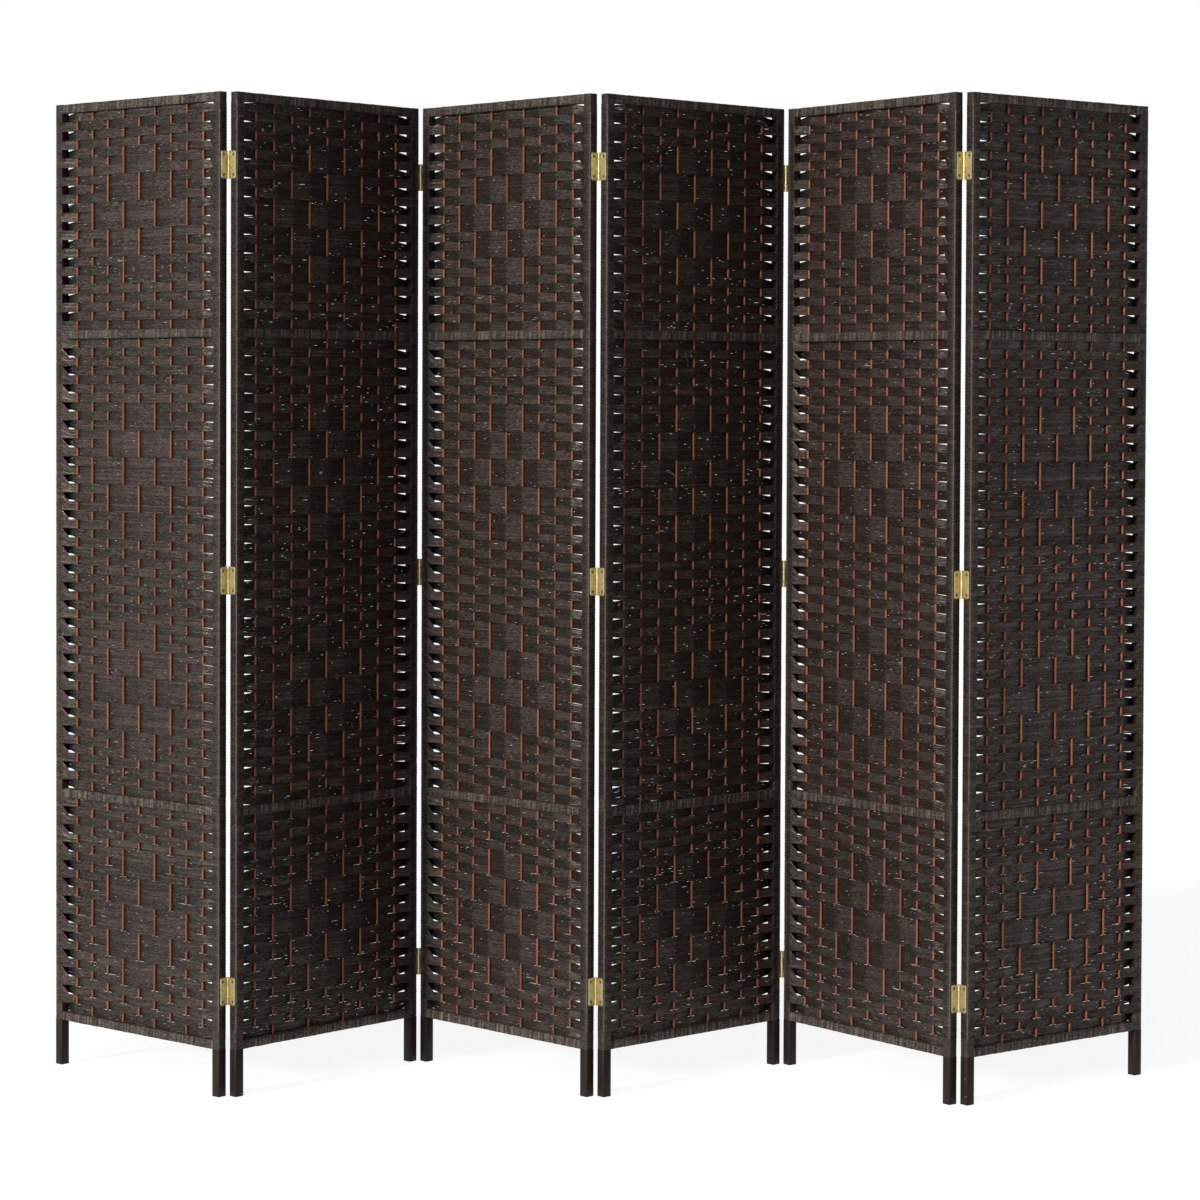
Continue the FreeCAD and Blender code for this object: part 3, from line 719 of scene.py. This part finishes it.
def screw_mesh():
    """A countersunk screw along +X, its head at the origin, with a crossed driver recess."""
    bm = bmesh.new()
    arm, width, depth, floor_share = 1.75, 0.36, 0.55, 0.6
    cross = [(width, width), (width, arm), (-width, arm), (-width, width), (-arm, width), (-arm, -width),
             (-width, -width), (-width, -arm), (width, -arm), (width, -width), (arm, -width), (arm, width)]
    _, loops = filled(bm, [circle(SCREW_HEAD, 0, 0, 0), [(0, y, z) for y, z in cross]])
    sunk = [bm.verts.new((-depth, y * floor_share, z * floor_share)) for y, z in cross]
    for i in range(len(cross)):
        j = (i + 1) % len(cross)
        bm.faces.new((loops[1][i], loops[1][j], sunk[j], sunk[i]))
    bm.faces.new(sunk)
    rims = [loops[0]]
    shank = ((SCREW_RADIUS, -SCREW_HEAD_HEIGHT), (SCREW_RADIUS, SCREW_POINT - SCREW_LENGTH),
             (SCREW_TIP_RADIUS, -SCREW_LENGTH))
    for radius, x in shank:
        rims.append([bm.verts.new(point) for point in circle(radius, 0, 0, x)])
    for ring, following in zip(rims, rims[1:]):
        for i in range(HOLE_SEGMENTS):
            j = (i + 1) % HOLE_SEGMENTS
            bm.faces.new((ring[i], ring[j], following[j], following[i]))
    bm.faces.new(rims[-1])
    return finished(bm, "hinge_screw")


def hinge_frames(matrix, edge, side):
    """Frames of a panel edge's three hinges, turned so that +X leaves the edge."""
    turn = Matrix.Identity(4)
    if side == BACK:
        turn = Matrix.Rotation(math.pi, 4, "X")
    if edge == LEFT:
        turn = Matrix.Rotation(math.pi, 4, "Z" if side == BACK else "Y")
    x = edge * (PANEL_WIDTH + EDGE_GAP) / 2
    y = side * (STILE / 2 + AXIS_STANDOFF)
    return [matrix @ Matrix.Translation((x, y, z)) @ turn for z in HINGE_MIDDLES]


# Build

# The fibre's worn colour is wear, and along the stiles' outer corners also a painted highlight
fibre = fibre_material("paper_fibre", dark=(0.001, 0.0006, 0.0005), middle=(0.0045, 0.0026, 0.002),
                       light=(0.034, 0.023, 0.018), worn=(0.2, 0.16, 0.135))
# A lighter copy of the paper fibre for the rails: painted sheen, standing in for the highlight that cords
# wound round a rail catch
wound_fibre_painted_sheen = fibre_material("wound_fibre_painted_sheen", dark=(0.001, 0.0006, 0.0005), middle=(0.021, 0.0155, 0.0125),
                             light=(0.12, 0.095, 0.078), worn=(0.2, 0.16, 0.135))
leg_wood = wood_material("stained_wood", dark=(0.006, 0.0034, 0.0026), light=(0.02, 0.0115, 0.009),
                         worn=(0.35, 0.30, 0.26), gloss=0.4)
stake_wood = wood_material("red_wood", dark=(0.125, 0.040, 0.022), light=(0.32, 0.110, 0.062),
                           worn=(0.5, 0.28, 0.18), gloss=0.32)
brass = brass_material("brass", bright=(0.64, 0.55, 0.29), dull=(0.36, 0.30, 0.14),
                       spots=(0.25, 0.2, 0.1), roughness=0.26)
screw_brass = brass_material("dark_brass", bright=(0.22, 0.16, 0.08), dull=(0.12, 0.085, 0.05),
                             spots=(0.07, 0.05, 0.035), roughness=0.3)
dowel_wood = dowel_material("beech")

end_leaf, mid_leaf = hinge_leaves()
hinge_pin, hinge_screw = pin_mesh(), screw_mesh()
screw_spots = [Matrix.Translation((LEAF_FACE, SCREW_LINE, sign * SCREW_SPACING / 2)) for sign in (-1, 1)]

for k in range(1, PANELS + 1):
    panel = f"panel_{k}"
    matrix = panel_place(k)
    rng = np.random.default_rng(100 + k)
    for field in FIELDS:
        woven_field(k, field, matrix, rng)
    for side_name, edge in (("left", LEFT), ("right", RIGHT)):
        x = edge * STILE_CENTRE
        node = f"{panel}_{side_name}_stile"
        piece(stile_core(k, side_name, x, matrix, rng), leg_wood, panel, node)
        piece(stile_bindings(k, side_name, x, matrix, rng), fibre, panel, node)
    piece(wound_rails(k, matrix, rng), wound_fibre_painted_sheen, panel, f"{panel}_rails")
    piece(round_stakes(k, matrix, rng), stake_wood, panel, f"{panel}_stakes")
    dowel_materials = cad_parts[f"{panel}_dowels"].data.materials
    dowel_materials.clear()
    dowel_materials.append(dowel_wood)
    screws = []
    if k > 1:
        hinges = hinge_frames(matrix, LEFT, BACK if k % 2 == 0 else FRONT)
        node = f"hinge_{k - 1}_{k}_right_leaves"
        piece(copies(f"{node}_brass", mid_leaf, hinges), brass, panel, node)
        screws += [hinge @ spot for hinge in hinges for spot in screw_spots]
    if k < PANELS:
        hinges = hinge_frames(matrix, RIGHT, BACK if k % 2 == 1 else FRONT)
        for template, kind in ((end_leaf, "left_leaves"), (hinge_pin, "pins")):
            node = f"hinge_{k}_{k + 1}_{kind}"
            piece(copies(f"{node}_brass", template, hinges), brass, panel, node)
        screws += [hinge @ spot for hinge in hinges for spot in screw_spots]
    piece(copies(f"{panel}_crossed_screws", hinge_screw, screws), screw_brass, panel,
          f"{panel}_hinge_screws")


# Stage, light and camera


def seen_rays(n):
    """1 for the rays that show the background: camera, glossy and transmission rays."""
    path = n.add("LightPath")
    seen = n.math("MAXIMUM", path.outputs["Is Camera Ray"], path.outputs["Is Glossy Ray"])
    return n.math("MAXIMUM", seen, path.outputs["Is Transmission Ray"])


def pale_floor():
    """A pale floor that keeps the screen's shadow, and glows for the rays that show the background."""
    bpy.ops.mesh.primitive_plane_add(size=FLOOR_SIZE)
    floor = bpy.context.object
    floor.name = "floor"
    n = Nodes("pale_floor")
    n.shade(Base_Color=(0.6, 0.6, 0.6, 1), Roughness=0.9, Specular_IOR_Level=0.0)
    glow = n.add("Emission", {"Color": (1, 1, 1, 1), "Strength": FLOOR_GLOW})
    blend = n.add("MixShader", {"Fac": n.math("MULTIPLY", seen_rays(n), FLOOR_GLOW_SHARE),
                                1: n.shader.outputs["BSDF"], 2: glow.outputs["Emission"]})
    n.put(n.tree.nodes["Material Output"].inputs["Surface"], blend.outputs["Shader"])
    floor.data.materials.append(n.material)


class WorldNodes(Nodes):
    """The world's node tree, with the same calls."""

    def __init__(self, world):
        world.use_nodes = True
        self.tree = world.node_tree


def studio_light():
    """Two lamps from the left, an even fill, a white backdrop all round and a dark ceiling."""
    world = bpy.data.worlds.new("studio")
    bpy.context.scene.world = world
    n = WorldNodes(world)
    background = n.tree.nodes["Background"]
    up = n.add("SeparateXYZ", {"Vector": n.add("TexCoord").outputs["Generated"]}).outputs["Z"]
    backdrop = n.add("MapRange", {"Value": up, "From Min": CEILING_START, "From Max": CEILING_FULL,
                                  "To Min": 1.0, "To Max": CEILING},
                     interpolation_type="SMOOTHSTEP").outputs["Result"]
    seen = seen_rays(n)
    shown = n.math("MULTIPLY", seen, backdrop)
    hidden = n.math("MULTIPLY_ADD", seen, -FILL, FILL)
    n.put(background.inputs["Color"], (1, 1, 1, 1))
    n.put(background.inputs["Strength"], n.math("ADD", shown, hidden))
    for name, strength, angle, left, above in LAMPS:
        lamp = bpy.data.objects.new(name, bpy.data.lights.new(name, "SUN"))
        lamp.data.energy, lamp.data.angle = strength, math.radians(angle)
        lamp.rotation_euler = math.radians(90 - above), 0, math.radians(-left)
        bpy.context.scene.collection.objects.link(lamp)


def photo_camera():
    """The camera at the photograph's viewing angle, for a square frame."""
    focal_in_frames, horizon_shift = 2.7042, -0.101
    yaw, pitch, roll = math.radians(-1.70), math.radians(1.362), math.radians(-0.224)
    position, sensor, far = (0.1833, -5.9431, 1.2498), 36.0, 200
    side = Vector((math.cos(yaw), -math.sin(yaw), 0))
    level = Vector((math.sin(yaw), math.cos(yaw), 0))
    forward = level * math.cos(pitch) - Vector((0, 0, 1)) * math.sin(pitch)
    up = level * math.sin(pitch) + Vector((0, 0, 1)) * math.cos(pitch)
    right = side * math.cos(roll) - up * math.sin(roll)
    up = side * math.sin(roll) + up * math.cos(roll)
    camera = bpy.data.objects.new("camera", bpy.data.cameras.new("camera"))
    camera.data.sensor_width = sensor
    camera.data.lens = focal_in_frames * sensor
    camera.data.shift_y = horizon_shift
    camera.data.clip_end = far
    turn = Matrix((right, up, -forward)).transposed().to_4x4()
    camera.matrix_world = Matrix.Translation(position) @ turn
    bpy.context.scene.collection.objects.link(camera)
    bpy.context.scene.camera = camera


pale_floor()
studio_light()
photo_camera()
bpy.context.scene.view_settings.view_transform = "Standard"
